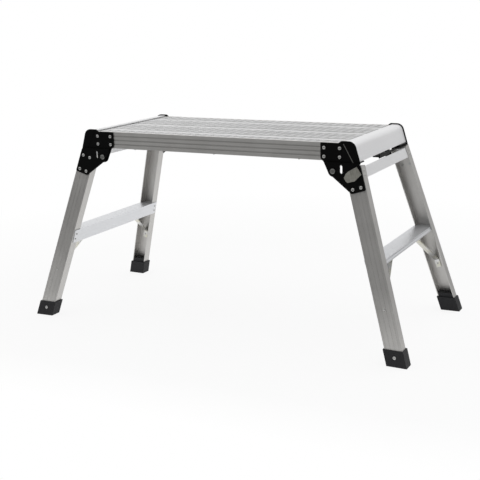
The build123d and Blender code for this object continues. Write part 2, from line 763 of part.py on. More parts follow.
# Boots: a sole and walls round the leg's end, with a plug that fills the channel
with BuildPart() as plug:
    with BuildSketch(section_plane):
        with Locations((0, -leg_wall)):
            Rectangle(leg_width - 2 * leg_wall, leg_depth - leg_wall, align=(Align.CENTER, Align.MAX))
    extrude(amount=leg_reach)
    split(bisect_by=Plane.XY.offset(boot_plug_height), keep=Keep.BOTTOM)
with BuildPart() as boot:
    with BuildSketch(section_plane):
        with Locations((0, boot_wall)):
            Rectangle(leg_width + 2 * boot_wall, leg_depth + 2 * boot_wall, align=(Align.CENTER, Align.MAX))
    extrude(amount=leg_reach)
    split(bisect_by=Plane.XY.offset(boot_height), keep=Keep.BOTTOM)
    add(plug.part)
    split(bisect_by=Plane.XY, keep=Keep.TOP)
    add(leg.part, mode=Mode.SUBTRACT)
    with Locations(leg_plane.offset(boot_wall)):
        with Locations(boot_place):
            Cylinder(rivet_hole, 3 * boot_wall, mode=Mode.SUBTRACT)
    with Locations(leg_plane.offset(-leg_wall)):
        with Locations(boot_place):
            Cylinder(rivet_tail_spread * rivet_hole, 2 * boot_wall, mode=Mode.SUBTRACT)
write_corners(boot.part, "boot")

with BuildPart() as boot_rivets:
    with Locations(leg_plane.offset(boot_wall)):
        with Locations(boot_place):
            add(rivet(boot_wall + leg_wall))
write_frames(both_legs(boot_rivets.part), "boot_rivets")

# Latch levers, at the rear of the right frame and the front of the left one
latch_bottom = bar_top + latch_rise
latch_top = latch_bottom + latch_wall
paddle_start = latch_y - latch_length + paddle_length
paddle_edge = latch_x + latch_offset + latch_width / 2 + paddle_proud
tongue_x = latch_x - tongue_reach
tongue_tip = rail_face - tongue_gap
tongue_bottom = slot_middle[1] - tongue_height / 2
with BuildPart() as latch_lever:
    with BuildSketch(Plane.XY.offset(latch_bottom)):
        with Locations((latch_x, latch_y)):
            Circle(latch_boss)
            Rectangle(latch_offset, latch_arm_inset + latch_arm_width, align=(Align.MIN, Align.MAX))
        with Locations((latch_x + latch_offset, latch_y)):
            Rectangle(latch_width, latch_length - paddle_length, align=(Align.CENTER, Align.MAX))
        with Locations((paddle_edge, paddle_start)):
            Rectangle(paddle_width, paddle_length, align=Align.MAX)
        with Locations((tongue_x, latch_y - latch_arm_inset)):
            Rectangle(tongue_reach, latch_arm_width, align=(Align.MIN, Align.MAX))
        with Locations((latch_x, latch_y)):
            Circle(latch_rivet_radius + pivot_clearance, mode=Mode.SUBTRACT)
    extrude(amount=latch_wall)
    with Locations((tongue_x, latch_y - latch_arm_inset, latch_top)):
        Box(latch_wall, latch_arm_width, latch_top - tongue_bottom,
            align=(Align.CENTER, Align.MAX, Align.MAX))
    with Locations((tongue_x, tongue_tip, tongue_bottom)):
        Box(latch_wall, tongue_width, tongue_height, align=(Align.CENTER, Align.MAX, Align.MIN))
    with Locations((paddle_edge, paddle_start, latch_bottom - paddle_lip_down)):
        Box(latch_wall, paddle_length, paddle_lip_down + latch_wall + paddle_lip_up,
            align=(Align.MAX, Align.MAX, Align.MIN))
write_frames(latch_lever.part, "latch_lever")

with BuildPart() as latch_rivet:
    with Locations((latch_x, latch_y, bar_top)):
        Cylinder(latch_collar_radius, latch_rise - running_gap, align=standing)
    with Locations((latch_x, latch_y, latch_top + running_gap)):
        Cylinder(latch_rivet_radius, latch_wall + latch_rise + bar_wall + 2 * running_gap, align=hanging)
        Cylinder(latch_head_radius, latch_head_height, align=standing)
    with Locations((latch_x, latch_y, bar_top - bar_wall)):
        Cylinder(latch_collar_radius, latch_head_height, align=hanging)
write_frames(latch_rivet.part, "latch_rivet")
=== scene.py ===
import json
from math import cos, radians, sin

import bmesh
import bpy
from mathutils import Matrix, Vector


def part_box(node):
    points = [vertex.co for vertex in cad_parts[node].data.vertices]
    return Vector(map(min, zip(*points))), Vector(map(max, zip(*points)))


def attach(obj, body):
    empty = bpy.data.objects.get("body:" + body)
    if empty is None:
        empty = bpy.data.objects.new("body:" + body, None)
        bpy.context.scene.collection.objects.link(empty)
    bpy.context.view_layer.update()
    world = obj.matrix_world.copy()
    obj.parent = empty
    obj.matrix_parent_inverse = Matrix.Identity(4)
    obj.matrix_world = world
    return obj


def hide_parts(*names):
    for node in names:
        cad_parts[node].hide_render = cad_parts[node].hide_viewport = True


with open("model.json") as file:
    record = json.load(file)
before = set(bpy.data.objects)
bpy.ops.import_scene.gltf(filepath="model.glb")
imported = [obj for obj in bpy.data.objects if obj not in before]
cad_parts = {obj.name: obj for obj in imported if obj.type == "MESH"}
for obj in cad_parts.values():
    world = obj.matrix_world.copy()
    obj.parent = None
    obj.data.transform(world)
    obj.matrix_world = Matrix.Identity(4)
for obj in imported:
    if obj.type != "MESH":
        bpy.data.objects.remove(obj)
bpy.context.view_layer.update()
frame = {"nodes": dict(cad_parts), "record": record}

nodes = frame["nodes"]
bodies = frame["record"]["behaviour"]["bodies"]
bodyOf = {name: body for body, names in bodies.items() for name in names}
slotOf = {name: node.data.materials[0].name.split(".")[0] for name, node in nodes.items()}
print("frame loaded:", len(nodes), "nodes")


def plug(tree, slot, value):
    if isinstance(value, Wire):
        tree.links.new(value.socket, slot)
    else:
        slot.default_value = value


# node values written as sums: each operator adds one Math node
class Wire:
    def __init__(self, tree, socket):
        self.tree, self.socket = tree, socket

    def math(self, operation, *others, clamp=False):
        node = self.tree.nodes.new("ShaderNodeMath")
        node.operation, node.use_clamp = operation, clamp
        for slot, value in zip(node.inputs, (self, *others)):
            plug(self.tree, slot, value)
        return Wire(self.tree, node.outputs[0])

    def ramp(self, start, end):  # 0 up to start, 1 from end on
        return (self - start).math("DIVIDE", end - start, clamp=True)

    def __add__(self, other):
        return self.math("ADD", other)

    def __sub__(self, other):
        return self.math("SUBTRACT", other)

    def __mul__(self, other):
        return self.math("MULTIPLY", other)

    def __truediv__(self, other):
        return self.math("DIVIDE", other)

    def __rsub__(self, other):
        return self * -1 + other

    __radd__ = __add__
    __rmul__ = __mul__


# what finishes and repeated pieces share: node() makes any node that isn't plain maths
class Tree:
    def node(self, kind, settings=None, inputs=None, output=0):
        made = self.tree.nodes.new(kind)
        for key, value in (settings or {}).items():
            setattr(made, key, value)
        for key, value in (inputs or {}).items():
            for one in value if isinstance(value, list) else [value]:
                plug(self.tree, made.inputs[key], one)
        return Wire(self.tree, made.outputs[output]) if made.outputs else None

    def vector(self, x, y, z):
        return self.node("ShaderNodeCombineXYZ", inputs={0: x, 1: y, 2: z})

    def split(self, vector):
        parts = self.node("ShaderNodeSeparateXYZ", inputs={0: vector}).socket.node
        return [Wire(self.tree, out) for out in parts.outputs]


# one finish is one material, or the world
class Finish(Tree):
    def __init__(self, owner):
        owner.use_nodes = True
        self.owner, self.tree = owner, owner.node_tree
        self.tree.nodes.clear()

    def place(self):
        spot = self.node("ShaderNodeTexCoord", output="Object")
        return spot, *self.split(spot)

    def noise(self, where, scale, detail, roughness):
        return self.node("ShaderNodeTexNoise", inputs={
            "Vector": where, "Scale": scale, "Detail": detail, "Roughness": roughness})

    def blend(self, factor, first, second):
        return self.node("ShaderNodeMix", settings={"data_type": "RGBA"},
                         inputs={0: factor, 6: first, 7: second}, output=2)

    def bump(self, height, strength, distance):
        return self.node("ShaderNodeBump", inputs={
            "Strength": strength, "Distance": distance, "Height": height})

    def mix(self, factor, first, second):
        return self.node("ShaderNodeMixShader", inputs={0: factor, 1: first, 2: second})

    def rays(self, *kinds):
        path = self.node("ShaderNodeLightPath").socket.node
        return [Wire(self.tree, path.outputs[f"Is {kind} Ray"]) for kind in kinds]

    def surface(self, inputs):
        shader = self.node("ShaderNodeBsdfPrincipled", inputs=inputs)
        self.node("ShaderNodeOutputMaterial", inputs={"Surface": shader})
        return self.owner


def shade(red, green, blue):
    return (red, green, blue, 1)


legs = dict(lean=radians(17), splay=radians(8))  # seen from the front and from the end


# directions along, through and across the drawn lines of a piece
def lineAxes(lines, x, y, z):
    if lines != "leg":
        axes = {"x": x, "y": y, "z": z}
        return [axes[letter] for letter in lines]
    out = x.math("ABSOLUTE")  # same lines on all four legs, which slope away from the middle
    along = z * cos(legs["lean"]) - out * sin(legs["lean"])
    across = out * cos(legs["lean"]) + z * sin(legs["lean"])
    return along, y.math("ABSOLUTE") + along * sin(legs["splay"]), across


drawn = dict(lineShare=0.6, tones=(0.25, 0.75), handledGloss=1.3, lineDepth=0.0002)


# aluminium: drawn lines run along the piece, with faint blotches of handling
def aluminium(name, look):
    finish = Finish(bpy.data.materials.new(name))
    spot, x, y, z = finish.place()
    along, through, across = lineAxes(look["lines"], x, y, z)
    lineSpot = finish.vector(along * look["stretch"], through * look["fine"], across * look["fine"])
    lines = finish.noise(lineSpot, scale=1.0, detail=4.0, roughness=0.6)
    handled = finish.noise(spot, scale=look["blotch"], detail=3.0, roughness=0.6)
    tone = lines * drawn["lineShare"] + handled * (1 - drawn["lineShare"])
    colour = finish.blend(tone.ramp(*drawn["tones"]), look["dark"], look["light"])
    # painted shade in hollows: the colour turns to the given dark tone where the mask says
    if "dullWhere" in look:
        colour = finish.blend(look["dullWhere"](y, z), colour, look["dull"])
    rough = look["rough"] + ((handled - 0.5) * drawn["handledGloss"] + (lines - 0.5)) * look["vary"]
    return finish.surface({
        "Base Color": colour, "Metallic": look["metal"], "Roughness": rough,
        "Normal": finish.bump(lines, look["bump"], drawn["lineDepth"])})


grooves = dict(skin=0.0002, foot=0.003, lip=0.0025, edge=0.0008, dull=0.4)


# painted shade at the bottom of the rails' grooves
def grooveShade(y, z):
    low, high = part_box("front_rail")
    face = -low.y - grooves["skin"]
    deep = y.math("ABSOLUTE").ramp(face, face - grooves["edge"])
    above = z.math("GREATER_THAN", low.z + grooves["foot"])
    below = z.math("LESS_THAN", high.z - grooves["lip"])
    return deep * above * below * grooves["dull"]


# tread planks: plate, turned-down edges, and two bands of ribs with a tooth row pressed into every rib
treads = dict(wall=0.0025, lip=0.006, border=0.0055, middle=0.026, ribs=4, ribWidth=0.0040, ribHigh=0.002,
              ribLow=0.0011, capCover=0.0121, endGap=0.0001, toothPitch=0.0218, toothLength=0.0138,
              toothTop=0.62, toothSide=0.8, dull=0.3, dullFoot=0.001)


# painted shade between the teeth; the tooth tops, above it, keep the plain colour
def shadeBetweenTeeth(y, z):
    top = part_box("middle_plank")[1].z
    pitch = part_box("rear_plank")[1].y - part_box("middle_plank")[1].y
    off = y.math("ABSOLUTE").math("PINGPONG", pitch / 2)  # from the middle of the nearest plank
    outOfShade = z.ramp(top - treads["ribHigh"] + treads["ribLow"], top)
    upper = z.math("GREATER_THAN", top - treads["ribHigh"] - treads["dullFoot"])  # not the underside
    return (1 - outOfShade) * off.math("GREATER_THAN", treads["middle"] / 2) * upper * treads["dull"]


plain = dict(wornEdge=0.0004, patches=(0.4, 0.65), glossVary=0.2, grainDepth=0.0003)


# plain finishes: one colour with a little noise in colour and gloss
def plainFinish(name, look):
    finish = Finish(bpy.data.materials.new(name))
    spot, x, y, _ = finish.place()
    grain = finish.noise(spot, scale=look["grain"], detail=4.0, roughness=0.6)
    colour = finish.blend(grain, look["dark"], look["light"])
    metal = look["metal"]
    if "bareFrom" in look:  # beyond this distance from the middle plane the colour turns lighter and more metallic: worn-off paint on the lever tongues, a painted highlight along the right-hand hinge plates' crease
        bare = y.math("ABSOLUTE").ramp(look["bareFrom"], look["bareFrom"] + plain["wornEdge"])
        bare = bare * x.math("GREATER_THAN", look["bareSide"])
        colour = finish.blend(bare, colour, look["bare"])
        metal = bare * look["bareMetal"]
    if "tint" in look:  # patches of another colour
        patches = finish.noise(spot, scale=look["patch"], detail=2.0, roughness=0.5)
        colour = finish.blend(patches.ramp(*plain["patches"]), colour, look["tint"])
    rough = look["rough"] + (grain - 0.5) * plain["glossVary"]
    return finish.surface({
        "Base Color": colour, "Metallic": metal, "Roughness": rough, "Specular IOR Level": look["gloss"],
        "Normal": finish.bump(grain, look["bump"], plain["grainDepth"])})


# lines: the axes along, through and across the drawn lines; leg follows the sloping legs
aluminiumLooks = {
    "railAluminium": dict(
        lines="xyz", stretch=5, fine=700, blotch=14, dark=shade(0.62, 0.61, 0.59),
        light=shade(0.84, 0.83, 0.81), metal=0.9, rough=0.42, vary=0.12, bump=0.25,
        dullWhere=grooveShade, dull=shade(0.20, 0.195, 0.185)),
    "treadAluminium": dict(
        lines="xzy", stretch=6, fine=600, blotch=18, dark=shade(0.70, 0.70, 0.70),
        light=shade(0.93, 0.93, 0.93), metal=0.85, rough=0.40, vary=0.12, bump=0.2,
        dullWhere=shadeBetweenTeeth, dull=shade(0.45, 0.45, 0.45)),
    "legAluminium": dict(
        lines="leg", stretch=4, fine=800, blotch=12, dark=shade(0.51, 0.50, 0.485),
        light=shade(0.69, 0.68, 0.66), metal=0.9, rough=0.44, vary=0.10, bump=0.15),
    "capSheet": dict(
        lines="yzx", stretch=6, fine=500, blotch=10, dark=shade(0.88, 0.88, 0.89),
        light=shade(0.94, 0.94, 0.95), metal=0.2, rough=0.38, vary=0.06, bump=0.10),
    "brightSheet": dict(
        lines="yzx", stretch=3, fine=420, blotch=9, dark=shade(0.74, 0.75, 0.77),
        light=shade(0.82, 0.83, 0.85), metal=0.75, rough=0.36, vary=0.03, bump=0.04),
    "badgeFoil": dict(
        lines="leg", stretch=40, fine=900, blotch=110, dark=shade(0.22, 0.215, 0.185),
        light=shade(0.60, 0.59, 0.53), metal=0.4, rough=0.40, vary=0.10, bump=0.15),
}
wearAndHighlightReach = dict(crease=0.0004, tongue=0.0113)  # how far in the worn bare metal and the painted crease highlight reach
creaseTop = -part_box("front_right_hinge_plate")[0].y
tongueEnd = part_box("right_latch_lever")[1].y
blackPaint = dict(
    grain=900, dark=shade(0.0025, 0.0025, 0.0025), light=shade(0.005, 0.005, 0.005), metal=0.0,
    rough=0.36, gloss=0.10, bump=0.12)
plainLooks = {
    "bracketPaint": blackPaint,
    "hingePaint": dict(  # painted highlight along the crease of the right-hand plates, as lighter, part-metallic paint
        blackPaint, bareFrom=creaseTop - wearAndHighlightReach["crease"], bareSide=0.0, bare=shade(0.20, 0.20, 0.19),
        bareMetal=0.3),
    "leverPaint": dict(  # bare tongues on both levers
        blackPaint, bareFrom=tongueEnd - wearAndHighlightReach["tongue"], bareSide=-1.0, bare=shade(0.66, 0.66, 0.65),
        bareMetal=0.85),
    "rivetSteel": dict(
        grain=300, dark=shade(0.44, 0.44, 0.43), light=shade(0.62, 0.62, 0.61), metal=0.9,
        rough=0.34, gloss=0.5, bump=0.05),
    "boltSteel": dict(
        grain=300, dark=shade(0.20, 0.20, 0.19), light=shade(0.32, 0.32, 0.31), metal=0.9,
        rough=0.40, gloss=0.5, bump=0.05),
    "zincPlate": dict(
        grain=120, dark=shade(0.74, 0.74, 0.74), light=shade(0.86, 0.86, 0.85), metal=0.85,
        rough=0.40, gloss=0.5, bump=0.05, patch=45, tint=shade(0.74, 0.72, 0.60)),
    "bootRubber": dict(
        grain=1100, dark=shade(0.016, 0.016, 0.018), light=shade(0.030, 0.030, 0.032), metal=0.0,
        rough=0.62, gloss=0.3, bump=0.25),
    "washerNylon": dict(
        grain=400, dark=shade(0.60, 0.60, 0.58), light=shade(0.75, 0.75, 0.73), metal=0.0,
        rough=0.5, gloss=0.5, bump=0.05),
}
finishes = {name: aluminium(name, look) for name, look in aluminiumLooks.items()}
finishes.update({name: plainFinish(name, look) for name, look in plainLooks.items()})
slotFinish = {
    "rail": "railAluminium", "leg": "legAluminium", "tread": "treadAluminium", "end_cap": "capSheet",
    "bright_sheet": "brightSheet", "black_bracket": "bracketPaint", "fastener": "rivetSteel",
    "zinc_brace": "zincPlate", "boot": "bootRubber", "nylon": "washerNylon", "badge": "badgeFoil",
}
nodeFinish = {  # where a slot's pieces differ
    # the top bar's brighter cap finish is painted light: it stands for the bar lying less in shade than
    # the steps
    "hinge_plate": "hingePaint", "latch_lever": "leverPaint", "top_bar": "capSheet",
    "pivot_bolts": "boltSteel",
}
print("finishes made:", len(finishes))


def finishOf(name):
    for ending, finish in nodeFinish.items():
        if name.endswith(ending):
            return finishes[finish]
    return finishes[slotFinish[slotOf[name]]]


def camelName(name):
    first, *others = name.split("_")
    return first + "".join(word.title() for word in others)


def addPiece(name, mesh):
    mesh.name = name
    piece = bpy.data.objects.new(name, mesh)
    bpy.context.scene.collection.objects.link(piece)
    return piece


def standFor(piece, *names):
    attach(piece, bodyOf[names[0]])
    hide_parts(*names)


def smoothPiece(piece, angle):
    piece.data.shade_smooth()
    piece.data.set_sharp_from_angle(angle=radians(angle))


def faceOut(mesh):
    bm = bmesh.new()
    bm.from_mesh(mesh)
    bmesh.ops.recalc_face_normals(bm, faces=bm.faces)
    bm.to_mesh(mesh)
    bm.free()


def pointMesh(name, points, **fields):
    mesh = bpy.data.meshes.new(name)
    mesh.from_pydata(points, [], [])
    for key, values in fields.items():
        for item, value in zip(mesh.attributes.new(key, "FLOAT_VECTOR", "POINT").data, values):
            item.vector = value
    return mesh


# a node tree that makes one repeated piece: every size is a named input with its value here
class Recipe(Tree):
    def __init__(self, name, sizes, finish):
        self.tree = bpy.data.node_groups.new(name, "GeometryNodeTree")
        self.finish, self.values = finish, {}
        self.addSocket("Geometry", "INPUT", "NodeSocketGeometry")
        for key, value in sizes.items():
            kind = "NodeSocketInt" if isinstance(value, int) else "NodeSocketFloat"
            self.values[self.addSocket(key, "INPUT", kind).identifier] = value
        self.addSocket("Geometry", "OUTPUT", "NodeSocketGeometry")
        self.source = self.node("NodeGroupInput").socket.node

    def addSocket(self, name, side, kind):
        return self.tree.interface.new_socket(name, in_out=side, socket_type=kind)

    def given(self, key):
        return Wire(self.tree, self.source.outputs[key])

    def cube(self, x, y, z):
        return self.node("GeometryNodeMeshCube", inputs={"Size": self.vector(x, y, z)})

    def moved(self, shape, x=0.0, y=0.0, z=0.0):
        return self.node("GeometryNodeTransform", inputs={
            "Geometry": shape, "Translation": self.vector(x, y, z)})

    def row(self, count, spread, z=0.0):  # points side by side across the piece
        return self.node("GeometryNodeMeshLine", inputs={
            "Count": count, "Start Location": self.vector(0.0, spread * -0.5, z),
            "Offset": self.vector(0.0, spread / (count - 1), 0.0)})

    def grid(self, length, width, countLong, countWide):
        return self.node("GeometryNodeMeshGrid", inputs={
            "Size X": length, "Size Y": width, "Vertices X": countLong, "Vertices Y": countWide})

    def copies(self, points, shape, inputs=None):
        return self.node("GeometryNodeInstanceOnPoints", inputs={
            "Points": points, "Instance": shape, **(inputs or {})})

    def joined(self, parts):
        return self.node("GeometryNodeJoinGeometry", inputs={0: parts})

    def finishWith(self, parts):
        real = self.node("GeometryNodeRealizeInstances", inputs={0: self.joined(parts)})
        painted = self.node("GeometryNodeSetMaterial", inputs={"Geometry": real, "Material": self.finish})
        self.node("NodeGroupOutput", inputs={0: painted})

    # runs the tree on a start mesh and leaves a plain mesh
    def piece(self, name, start):
        holder = bpy.data.objects.new(name + "Start", start)
        bpy.context.scene.collection.objects.link(holder)
        modifier = holder.modifiers.new(self.tree.name, "NODES")
        modifier.node_group = self.tree
        for identifier, value in self.values.items():
            modifier[identifier] = value
        bpy.context.view_layer.update()
        grown = holder.evaluated_get(bpy.context.evaluated_depsgraph_get())
        mesh = bpy.data.meshes.new_from_object(grown)
        holder.modifiers.remove(modifier)
        bpy.data.objects.remove(holder)
        faceOut(mesh)
        return addPiece(name, mesh)


# sizes of one plank, worked out from the solid one
def plankRecipe():
    low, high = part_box("middle_plank")
    length, width = high.x - low.x, high.y - low.y
    band = (width - treads["middle"]) / 2 - treads["border"]
    ribLength = length - 2 * treads["capCover"]
    teeth = int(ribLength / treads["toothPitch"])
    return Recipe("toothedPlank", {
        "Length": length, "Width": width, "Wall": treads["wall"], "Lip": treads["lip"],
        "Band Spread": treads["middle"] + band, "Ribs": treads["ribs"],
        "Rib Span": band - treads["ribWidth"], "Rib Width": treads["ribWidth"],
        "Rib Length": ribLength, "Rib Low": treads["ribLow"],
        "Teeth": teeth, "Tooth Span": (teeth - 1) * treads["toothPitch"],
        "Tooth Length": treads["toothLength"], "Tooth Height": treads["ribHigh"] - treads["ribLow"],
        "Tooth Top": treads["toothTop"], "Tooth Side": treads["toothSide"],
        "End Length": treads["capCover"], "End Height": treads["ribHigh"] - treads["endGap"],
    }, finishes["treadAluminium"])


def makeTreads():
    recipe = plankRecipe()
    size = recipe.given
    length, width, wall, lip = size("Length"), size("Width"), size("Wall"), size("Lip")
    plate = recipe.moved(recipe.cube(length, width, wall), z=wall * -0.5)
    edge = recipe.cube(length, wall, lip - wall)
    edges = [recipe.moved(edge, y=(width - wall) * side, z=(lip + wall) * -0.5) for side in (-0.5, 0.5)]

    count, span, ribWidth, ribLow = size("Ribs"), size("Rib Span"), size("Rib Width"), size("Rib Low")
    rib = recipe.cube(size("Rib Length"), ribWidth, ribLow)
    ribs = recipe.copies(recipe.row(count, span, z=ribLow * 0.5), rib)

    tooth = recipe.cube(size("Tooth Length"), ribWidth, size("Tooth Height"))
    x, y, z = recipe.split(recipe.node("GeometryNodeInputPosition"))
    shrink = z.math("GREATER_THAN", 0.0) * (size("Tooth Top") - 1)  # the top is smaller than the foot
    tooth = recipe.node("GeometryNodeSetPosition", inputs={
        "Geometry": tooth, "Offset": recipe.vector(x * shrink, y * shrink * size("Tooth Side"), 0.0)})
    toothSpots = recipe.grid(size("Tooth Span"), span, size("Teeth"), count)
    teeth = recipe.copies(recipe.moved(toothSpots, z=ribLow + size("Tooth Height") * 0.5), tooth)

    endLength, endHeight = size("End Length"), size("End Height")  # plain rib ends under the caps
    endSpots = recipe.grid(size("Rib Length") + endLength, span, 2, count)
    end = recipe.cube(endLength, ribWidth, endHeight)
    ends = recipe.copies(recipe.moved(endSpots, z=endHeight * 0.5), end)

    bands = recipe.copies(recipe.row(2, size("Band Spread")), recipe.joined([ribs, teeth, ends]))
    recipe.finishWith([plate, *edges, bands])
    for name in ("front_plank", "middle_plank", "rear_plank"):
        low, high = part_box(name)
        piece = recipe.piece(name.split("_")[0] + "ToothedPlank", pointMesh("seed", [(0, 0, 0)]))
        piece.data.transform(Matrix.Translation((0, (low.y + high.y) / 2, high.z - treads["ribHigh"])))
        standFor(piece, name)


# the separate shells of a mesh, each as a list of its corners
def shellsOf(bm):
    seen = set()
    for start in bm.verts:
        if start in seen:
            continue
        shell, queue = [], [start]
        seen.add(start)
        while queue:
            corner = queue.pop()
            shell.append(corner)
            for edge in corner.link_edges:
                other = edge.other_vert(corner)
                if other not in seen:
                    seen.add(other)
                    queue.append(other)
        yield shell


# pull rivets: sizes of a head in units of its radius and height, the tail in metres
rivets = dict(facets=20, rim=0.22, shoulder=0.86, shoulderHigh=0.38, crown=0.52, crownHigh=0.30,
              lipHigh=0.10, hole=0.30, holeFoot=0.9, holeDepth=0.55, weld=0.01, tail=0.0012, smooth=40)
rivetSearch = dict(weld=1e-6, same=1e-5, digits=3, leastShank=0.2, outward=(0.7, 0.6, 0.4))


# one solid rivet: seat under the head, axis out of the head, and the sizes of head, shank and tail
def rivetFrom(shell):
    flats = {}
    for face in {face for vert in shell for face in vert.link_faces}:
        side = face.normal if face.normal.dot(rivetSearch["outward"]) > 0 else -face.normal
        key = tuple(round(part, rivetSearch["digits"]) for part in side)
        flats[key] = flats.get(key, 0) + face.calc_area()
    axis = Vector(max(flats, key=flats.get)).normalized()  # most of the flat area faces along the rivet
    middle = sum((vert.co for vert in shell), Vector()) / len(shell)
    along = [(vert.co - middle).dot(axis) for vert in shell]
    reach = [(vert.co - middle - axis * a).length for vert, a in zip(shell, along)]
    same, widest = rivetSearch["same"], max(reach)
    rim = [a for a, r in zip(along, reach) if r > widest - same]
    if sum(rim) < 0:
        axis, along, rim = -axis, [-a for a in along], [-a for a in rim]
    seat, top, bottom = min(rim), max(along), min(along)
    shank = min(r for r in reach if r > widest * rivetSearch["leastShank"])
    foot = max(r for a, r in zip(along, reach) if a < bottom + same)
    tail = Vector((foot, foot, rivets["tail"])) if foot > shank + same else Vector()  # flush: none
    return dict(seat=middle + axis * seat, axis=axis, end=middle + axis * bottom, tail=tail,
                head=Vector((widest, widest, top - seat)), shank=Vector((shank, shank, seat - bottom)))


def rivetsIn(name):
    bm = bmesh.new()
    bm.from_mesh(nodes[name].data)
    bmesh.ops.remove_doubles(bm, verts=bm.verts, dist=rivetSearch["weld"])
    found = [rivetFrom(shell) for shell in shellsOf(bm)]
    bm.free()
    return found


def makeRivets():
    recipe = Recipe("pullRivet", {
        "Facets": rivets["facets"], "Rim": rivets["rim"], "Shoulder": rivets["shoulder"],
        "Shoulder Height": rivets["shoulderHigh"], "Crown": rivets["crown"],
        "Crown Height": rivets["crownHigh"], "Lip Height": rivets["lipHigh"], "Hole": rivets["hole"],
        "Hole Foot": rivets["holeFoot"], "Hole Depth": rivets["holeDepth"],
    }, finishes["rivetSteel"])
    size = recipe.given

    def ring(low, high, bottom, depth):  # one turned band of the head
        cone = recipe.node("GeometryNodeMeshCone", settings={"fill_type": "NONE"}, inputs={
            "Vertices": size("Facets"), "Radius Bottom": low, "Radius Top": high, "Depth": depth})
        return recipe.moved(cone, z=bottom)

    def disc(radius, level):
        flat = recipe.node("GeometryNodeMeshCircle", settings={"fill_type": "NGON"}, inputs={
            "Vertices": size("Facets"), "Radius": radius})
        return recipe.moved(flat, z=level)

    def rod(middle):
        made = recipe.node("GeometryNodeMeshCylinder", inputs={
            "Vertices": size("Facets"), "Radius": 1.0, "Depth": 1.0})
        return recipe.moved(made, z=middle)

    def field(key):
        return recipe.node("GeometryNodeInputNamedAttribute", settings={"data_type": "FLOAT_VECTOR"},
                           inputs={"Name": key})

    crownAt = size("Rim") + size("Shoulder Height")
    lipAt = crownAt + size("Crown Height")
    holeAt = lipAt + size("Lip Height") - size("Hole Depth")
    holeFoot = size("Hole") * size("Hole Foot")
    outline = [
        disc(1.0, 0.0),
        ring(1.0, 1.0, 0.0, size("Rim")),
        ring(1.0, size("Shoulder"), size("Rim"), size("Shoulder Height")),
        ring(size("Shoulder"), size("Crown"), crownAt, size("Crown Height")),
        ring(size("Crown"), size("Hole"), lipAt, size("Lip Height")),
        ring(holeFoot, size("Hole"), holeAt, size("Hole Depth")),
        disc(holeFoot, holeAt),
    ]
    head = recipe.node("GeometryNodeMergeByDistance", inputs={
        "Geometry": recipe.joined(outline), "Distance": rivets["weld"]})

    turn = recipe.node("FunctionNodeAlignRotationToVector", settings={"axis": "Z"}, inputs={
        "Vector": field("axis")})
    seats = recipe.given("Geometry")
    ends = recipe.node("GeometryNodeSetPosition", inputs={"Geometry": seats, "Position": field("end")})
    hasTail = recipe.split(field("tail"))[0].math("GREATER_THAN", 0.0)
    parts = [
        (seats, head, "head", True),
        (seats, rod(-0.5), "shank", True),
        (ends, rod(0.5), "tail", hasTail),
    ]
    recipe.finishWith([
        recipe.copies(points, shape, {"Selection": shown, "Rotation": turn, "Scale": field(key)})
        for points, shape, key, shown in parts])
    for name in [name for name in nodes if name.endswith("_rivets")]:
        found = rivetsIn(name)
        points = pointMesh("seats", [rivet["seat"] for rivet in found], **{
            key: [rivet[key] for rivet in found] for key in ("axis", "end", "head", "shank", "tail")})
        piece = recipe.piece(camelName(name), points)
        smoothPiece(piece, rivets["smooth"])
        standFor(piece, name)


# every other solid: a copy with its edges eased, since pressed, drawn and moulded edges are never sharp
easing = {
    "rail": 0.0003, "leg": 0.00025, "end_cap": 0.0009, "bright_sheet": 0.0009, "black_bracket": 0.0005,
    "zinc_brace": 0.0005, "boot": 0.0012, "badge": 0.0008, "fastener": 0.0004, "nylon": 0.0002,
}
eased = dict(weld=2e-6, flatAngle=0.5, edgeAngle=33, segments=2, profile=0.5, smooth=30, flatWeight=100)


# large flat faces keep their own normal beside the eased edges
def evenNormals(piece):
    modifier = piece.modifiers.new("evenNormals", "WEIGHTED_NORMAL")
    modifier.keep_sharp, modifier.weight = True, eased["flatWeight"]
    even = bpy.data.meshes.new_from_object(piece.evaluated_get(bpy.context.evaluated_depsgraph_get()))
    piece.modifiers.remove(modifier)
    even.name = piece.name
    piece.data = even


crease = dict(below=0.0016, slope=0.0006, high=0.0030, deep=0.0012, reach=0.0004, cut=1e-7, same=1e-6)


# a crease pressed along the outer edge of a step
def creaseNose(bm):
    first = max(vert.co.z for vert in bm.verts) - crease["below"]
    second = first - crease["slope"]
    third = second - crease["high"]
    for level in (first, second, third, third - crease["slope"]):
        bmesh.ops.bisect_plane(bm, geom=bm.verts[:] + bm.edges[:] + bm.faces[:], plane_co=(0, 0, level),
                               plane_no=(0, 0, 1), dist=crease["cut"])
    for level in (second, third):
        row = [vert for vert in bm.verts if abs(vert.co.z - level) < crease["same"]]
        edge = max(abs(vert.co.x) for vert in row)
        for vert in row:
            if abs(vert.co.x) > edge - crease["reach"]:
                vert.co.x *= 1 - crease["deep"] / edge


